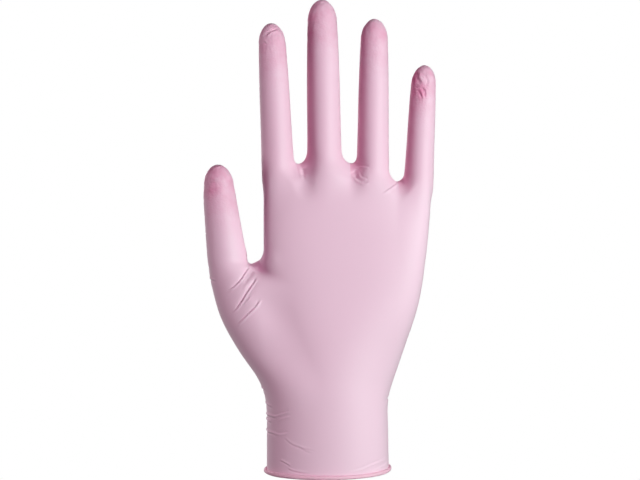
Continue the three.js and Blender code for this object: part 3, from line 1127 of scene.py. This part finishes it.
    def build(self) -> bpy.types.Object:
        """Makes the film as one closed skin with an outer and an inner wall.

        Returns:
            The piece's object.
        """
        skin = self.open_shell(self.fine, 0.0)
        self.refined(skin)
        lining = self.open_shell(self.inner, self.wall)
        bmesh.ops.reverse_faces(lining, faces=lining.faces[:])
        outer_count = len(skin.verts)
        loose = bpy.data.meshes.new("lining")
        lining.to_mesh(loose)
        lining.free()
        skin.from_mesh(loose)
        bpy.data.meshes.remove(loose)
        rims = [edge for edge in skin.edges if edge.is_boundary]
        bmesh.ops.bridge_loops(skin, edges=rims)
        mesh = bpy.data.meshes.new("glove_skin")
        skin.to_mesh(mesh)
        skin.free()
        outer = (np.arange(len(mesh.vertices)) < outer_count).astype(float)
        self.pressed(mesh, outer)
        place = points_of(mesh)
        values = {"slack": self.slackness(place), "pink": self.pink_with_painted_shade(place)}
        return finished(mesh, values, self.finish)


@dataclass
class RolledBead:
    """The film's edge, rolled up on itself into a soft bead round the mouth.

    It stands proud of the film, rises towards +X by its tilt, and swells and waves a little on its
    way round. It is first spun round, with the spun radius, and then laid along the mouth.
    """

    form: HandForm
    finish: DippedNitrile = DippedNitrile("rolled_nitrile", deep="#F3BCD1")
    radius: float = 1.1
    stations: int = 220
    profile: int = 14
    proud: float = 0.35
    tilt: float = 0.018
    middle: float = 2.3
    wave: float = 0.25
    spun: float = 100.0

    def build(self) -> bpy.types.Object:
        """Makes the bead.

        Returns:
            The piece's object.
        """
        ring = bmesh.new()
        made = bmesh.ops.create_circle(ring, cap_ends=False, radius=self.radius, segments=self.profile)
        bmesh.ops.rotate(ring, verts=made["verts"], matrix=Matrix.Rotation(math.pi / 2, 3, "X"))
        bmesh.ops.translate(ring, verts=made["verts"], vec=(self.spun, 0, 0))
        bmesh.ops.spin(
            ring,
            geom=ring.verts[:] + ring.edges[:],
            cent=(0, 0, 0),
            axis=(0, 0, 1),
            angle=2 * math.pi,
            steps=self.stations,
            use_merge=True,
        )
        _, half_width, half_depth = (float(v[0]) for v in self.form.sleeve_section(np.array([0.0])))
        for vert in ring.verts:
            angle = math.atan2(vert.co.y, vert.co.x)
            out = math.hypot(vert.co.x, vert.co.y) - self.spun
            up = vert.co.z
            c, s = math.cos(angle), math.sin(angle)
            power = 2 / self.form.sleeve[0].fullness
            swell = 1 + 0.07 * math.sin(3 * angle + 1) + 0.05 * math.sin(7 * angle)
            wide = half_width + self.proud + out * swell
            deep = half_depth + self.proud + out * swell
            x = wide * math.copysign(abs(c) ** power, c)
            y = deep * math.copysign(abs(s) ** power, s)
            z = self.middle + self.tilt * x + up * swell + self.wave * math.sin(2 * angle + 0.6)
            vert.co = (x, y, z)
        bmesh.ops.recalc_face_normals(ring, faces=ring.faces[:])
        mesh = bpy.data.meshes.new("rolled_bead")
        ring.to_mesh(mesh)
        ring.free()
        full = np.ones(len(mesh.vertices))
        return finished(mesh, {"slack": full, "pink": full}, self.finish)


@dataclass(frozen=True)
class Softbox:
    """A square soft light that faces the glove.

    turn is its angle round the glove in degrees, from the camera towards the camera's right, and
    lift its angle above the level. Where it isn't glossy it doesn't show in the film's sheen.
    """

    name: str
    turn: float
    lift: float
    power: float
    colour: str
    size: float = 400.0
    distance: float = 900.0
    glossy: bool = True

    def place(self, aim: Vector) -> None:
        """Hangs the light.

        Args:
            aim: the point that it faces, in metres.
        """
        data = bpy.data.lights.new(self.name, "AREA")
        data.shape = "SQUARE"
        data.size = self.size * MM
        data.energy = self.power
        data.color = linear(self.colour)[:3]
        lamp = bpy.data.objects.new(self.name, data)
        turn, lift = math.radians(self.turn), math.radians(self.lift)
        way = Vector((math.sin(turn) * math.cos(lift), -math.cos(turn) * math.cos(lift), math.sin(lift)))
        lamp.location = aim + way * self.distance * MM
        lamp.rotation_euler = (-way).to_track_quat("-Z", "Y").to_euler()
        lamp.visible_camera = False
        lamp.visible_glossy = self.glossy
        bpy.context.scene.collection.objects.link(lamp)


@dataclass(frozen=True)
class Studio:
    """A white studio with soft lights in front of, beside, behind and under the glove.

    The camera looks at a place across and up, from a distance at which the picture is as wide as the
    frame width.
    """

    distance: float = 600.0
    aim: tuple[float, float] = (-3.8, 118.4)
    frame_width: float = 324.5
    floor_drop: float = 900.0
    haze: float = 0.04
    lights: tuple[Softbox, ...] = (
        Softbox("key", 43.0, 7.0, 8.75, "#E2FFF3"),
        Softbox("front", 0.0, 15.0, 2.0, "#FFA0D8"),
        Softbox("side", -100.0, 0.0, 3.5, "#F2FFF8", glossy=False),
        Softbox("rim", 100.0, 0.0, 0.7, "#FFC8DE", glossy=False),
        Softbox("back_key", 208.0, 10.0, 5.2, "#F4FFFA", glossy=False),
        Softbox("back_fill", 160.0, 0.0, 1.0, "#FFD8EA", glossy=False),
        Softbox("under", 180.0, -62.0, 2.5, "#FFFFFF", glossy=False),
    )

    def build(self) -> None:
        """Places the camera, the floor, the lights and the surroundings."""
        self.camera()
        self.floor()
        for light in self.lights:
            light.place(Vector((0, 0, self.aim[1])) * MM)
        self.surroundings()
        bpy.context.scene.view_settings.view_transform = "Standard"

    def camera(self) -> None:
        """Places the camera level with the middle of the glove, looking along +Y."""
        data = bpy.data.cameras.new("camera")
        data.sensor_width = 36.0
        data.lens = 36.0 * self.distance / self.frame_width
        data.clip_end = 50.0
        camera = bpy.data.objects.new("camera", data)
        camera.location = (self.aim[0] * MM, -self.distance * MM, self.aim[1] * MM)
        camera.rotation_euler = (math.pi / 2, 0, 0)
        bpy.context.scene.collection.objects.link(camera)
        bpy.context.scene.camera = camera

    def floor(self) -> None:
        """Lays a plain white floor, far enough below for the mouth to be seen from under it."""
        plate = bmesh.new()
        bmesh.ops.create_grid(plate, x_segments=1, y_segments=1, size=10.0)
        mesh = bpy.data.meshes.new("floor")
        plate.to_mesh(mesh)
        plate.free()
        mesh.transform(Matrix.Translation((0, 0, -self.floor_drop * MM)))
        material = bpy.data.materials.new("white_floor")
        material.use_nodes = True
        tree = material.node_tree
        tree.nodes.clear()
        glow = add_node(tree, "ShaderNodeEmission", {"Color": (1, 1, 1, 1), "Strength": 1.0})
        add_node(tree, "ShaderNodeOutputMaterial", {"Surface": glow.outputs[0]})
        mesh.materials.append(material)
        floor = bpy.data.objects.new("floor", mesh)
        floor.visible_diffuse = False
        floor.visible_glossy = False
        floor.visible_shadow = False
        bpy.context.scene.collection.objects.link(floor)

    def surroundings(self) -> None:
        """Makes the world white to the camera and a faint even fill to the glove."""
        world = bpy.data.worlds.new("studio")
        bpy.context.scene.world = world
        world.use_nodes = True
        tree = world.node_tree
        tree.nodes.clear()
        seen = add_node(tree, "ShaderNodeLightPath").outputs["Is Camera Ray"]
        fill = add_node(tree, "ShaderNodeBackground", {"Color": (1, 1, 1, 1), "Strength": self.haze})
        white = add_node(tree, "ShaderNodeBackground", {"Color": (1, 1, 1, 1), "Strength": 1.0})
        both = add_node(tree, "ShaderNodeMixShader", {"Fac": seen})
        tree.links.new(fill.outputs[0], both.inputs[1])
        tree.links.new(white.outputs[0], both.inputs[2])
        add_node(tree, "ShaderNodeOutputWorld", {"Surface": both.outputs[0]})


CREASES = (
    # round the root of the thumb
    Crease(
        ((-38.5, 105.4), (-40.3, 103.3), (-42.6, 99.6), (-45.4, 96.3), (-48.9, 93.5), (-51.5, 92.5)),
        0.32, 0.28, 0.45,
    ),
    Crease(
        ((-34.9, 100.3), (-36.1, 98.1), (-38.1, 95.2), (-40.2, 92.0), (-42.2, 88.6), (-44.1, 85.7),
         (-46.0, 83.5), (-48.7, 81.4)),
        0.35, 0.35, 0.5,
    ),
    Crease(((-36.8, 103.7), (-40.9, 97.9), (-47.2, 91.8)), 0.0, 0.45, 2.4),
    Crease(((-33.4, 98.6), (-38.6, 90.3), (-44.5, 82.0)), 0.0, 0.4, 2.2),
    Crease(((-32.9, 89.5), (-35.7, 85.4), (-39.0, 82.1), (-42.2, 78.8), (-46.4, 74.5)), 0.42, 0.2, 0.5),
    Crease(((-36.2, 102.9), (-38.3, 99.4), (-40.4, 95.2)), 0.05, 0.3, 1.0),
    Crease(((-39.0, 99.6), (-41.1, 96.1), (-42.6, 92.5)), 0.12, 0.1, 0.8),
    Crease(((-37.8, 91.1), (-39.8, 88.7), (-42.3, 86.2)), 0.1, 0.08, 0.5),
    # between the fingers
    Crease(((-15.2, 156.2), (-14.4, 153.2), (-13.4, 148.6)), 0.04, 0.17, 0.6),
    Crease(((-12.4, 156.0), (-11.8, 152.9), (-10.8, 147.6)), 0.04, 0.22, 0.7),
    Crease(((-10.9, 154.9), (-10.1, 150.8)), 0.0, 0.5, 1.5),
    Crease(((21.0, 154.7), (16.5, 155.2), (11.9, 155.3)), 0.3, 0.2, 0.5),
    Crease(((20.8, 147.3), (17.8, 146.8), (14.4, 148.8), (12.6, 152.0)), 0.25, 0.25, 0.55),
    Crease(((19.9, 148.6), (16.8, 150.1), (15.6, 153.3)), 0.2, 0.25, 0.5),
    Crease(((13.9, 153.9), (16.2, 150.3)), 0.0, 0.5, 1.4),
    Crease(((35.5, 147.3), (32.2, 145.0), (29.2, 142.9), (26.5, 141.2)), 0.25, 0.12, 0.5),
    Crease(((38.5, 149.8), (39.0, 145.8)), 0.0, 0.4, 1.6),
    # round the wrist
    Crease(((-18.5, 34.4), (-22.6, 32.8), (-26.6, 30.9), (-29.7, 29.9)), 0.18, 0.12, 0.45),
    Crease(((-18.0, 32.2), (-22.1, 30.7), (-25.6, 28.6)), 0.1, 0.08, 0.5),
    Crease(((-19.0, 23.8), (-23.6, 22.5), (-29.7, 21.3)), 0.12, 0.1, 0.5),
    Crease(((-21.8, 21.2), (-18.0, 18.3), (-12.9, 16.6), (-4.8, 15.2)), 0.09, 0.09, 0.45),
    Crease(((-15.0, 17.5), (-10.9, 15.3), (-6.8, 14.2)), 0.08, 0.08, 0.5),
    Crease(((-23.6, 9.4), (-21.0, 8.5), (-18.0, 7.0)), 0.2, 0.18, 0.4),
    Crease(((-20.0, 5.8), (-15.5, 4.7), (-8.4, 4.1)), 0.2, 0.17, 0.4),
    Crease(((30.2, 9.6), (22.6, 8.0), (16.5, 6.1), (9.4, 4.8)), 0.17, 0.15, 0.5),
    Crease(((30.7, 7.0), (25.6, 5.6), (20.5, 4.2)), 0.13, 0.12, 0.45),
    Crease(((-9.0, 43.3), (0.0, 43.6), (8.0, 43.3)), 0.3, 0.2, 0.5, side=Side.THUMB),
    Crease(((-12.0, 35.2), (0.0, 35.9), (9.0, 35.5)), 0.3, 0.2, 0.5, side=Side.THUMB),
    Crease(((-14.0, 30.4), (0.0, 30.2), (10.0, 29.6)), 0.4, 0.2, 0.5, side=Side.THUMB),
    Crease(((-10.0, 27.4), (0.0, 27.7), (8.0, 28.1)), 0.4, 0.2, 0.45, side=Side.THUMB),
    Crease(((-15.0, 21.8), (0.0, 22.1), (12.0, 21.6)), 0.4, 0.25, 0.5, side=Side.THUMB),
    Crease(((9.0, 39.0), (3.0, 37.6), (-4.0, 37.9), (-11.0, 35.6)), 0.1, 0.45, 0.6, side=Side.LITTLE),
    Crease(((-8.0, 97.9), (0.0, 98.8), (6.0, 98.6)), 0.25, 0.25, 0.5, side=Side.THUMB),
    # at the fingertips
    Crease(((-24.8, 224.2), (-28.1, 223.3), (-29.8, 222.0), (-31.7, 219.8)), 0.25, 0.45, 0.6),
    Crease(((-32.0, 218.3), (-30.4, 216.7)), 0.15, 0.2, 0.5),
    Crease(((-54.2, 156.0), (-57.0, 155.0), (-59.6, 152.7)), 0.2, 0.35, 0.6),
    Crease(((45.6, 203.1), (45.9, 200.0), (47.4, 196.5)), 0.4, 0.4, 0.8),
    Crease(((49.2, 201.5), (50.8, 198.0), (49.4, 194.9)), 0.2, 0.3, 0.6),
    Crease(((45.4, 194.4), (46.9, 191.9), (47.9, 188.4)), 0.3, 0.3, 0.5),
    Crease(((47.9, 195.4), (49.2, 192.4), (48.9, 189.4)), 0.3, 0.3, 0.5),
    Crease(((-7.4, 237.3), (-4.8, 238.1), (-1.3, 237.7)), 0.1, 0.15, 0.5),
    # on the back
    Crease(((-36.2, 101.9), (-41.1, 93.5), (-48.3, 86.1)), 0.3, 0.3, 0.6, side=Side.BACK),
    Crease(((-33.2, 90.3), (-39.3, 82.4), (-46.5, 75.6)), 0.25, 0.15, 0.6, side=Side.BACK),
    Crease(((-39.0, 103.5), (-43.0, 99.0), (-48.0, 96.5)), 0.2, 0.2, 0.5, side=Side.BACK),
    Crease(((-27.8, 25.2), (-23.0, 24.7), (-12.1, 22.0)), 0.15, 0.15, 0.5, side=Side.BACK),
    Crease(((27.0, 30.5), (20.0, 31.8), (11.0, 31.0)), 0.15, 0.12, 0.5, side=Side.BACK),
    Crease(((22.0, 9.0), (12.0, 6.5), (2.0, 6.2)), 0.15, 0.12, 0.45, side=Side.BACK),
    Crease(((-12.5, 154.5), (-12.0, 149.5)), 0.2, 0.2, 0.6, side=Side.BACK),
    Crease(((13.0, 154.0), (14.5, 149.0), (19.0, 147.0)), 0.2, 0.2, 0.6, side=Side.BACK),
    Crease(((36.0, 147.0), (31.0, 142.5)), 0.2, 0.15, 0.6, side=Side.BACK),
)
BLUSHES = (
    # at the tip of the little finger, the thumb and the middle finger
    Blush(47.2, 193.0, 2.6, 5.5, 0.9),
    Blush(43.8, 200.0, 2.0, 7.0, 0.8),
    Blush(-58.0, 147.0, 4.0, 8.0, 0.55),
    Blush(-8.0, 231.0, 3.0, 8.0, 0.5),
    # on the back of the little finger
    Blush(47.0, 196.0, 5.0, 8.0, 0.6, side=Side.BACK),
)


def main() -> None:
    """Builds the glove and its studio, and reports each piece."""
    logging.basicConfig(level=logging.INFO, format="%(message)s")
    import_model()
    form = HandForm()
    skin = GloveSkin(form, CREASES, BLUSHES).build()
    bead = RolledBead(form).build()
    for piece in (skin, bead):
        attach(piece, "root")
        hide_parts("glove_film")
        mesh = piece.data
        log.info("%s: %d vertices, %d faces", piece.name, len(mesh.vertices), len(mesh.polygons))
    Studio().build()


if __name__ == "__main__":
    main()
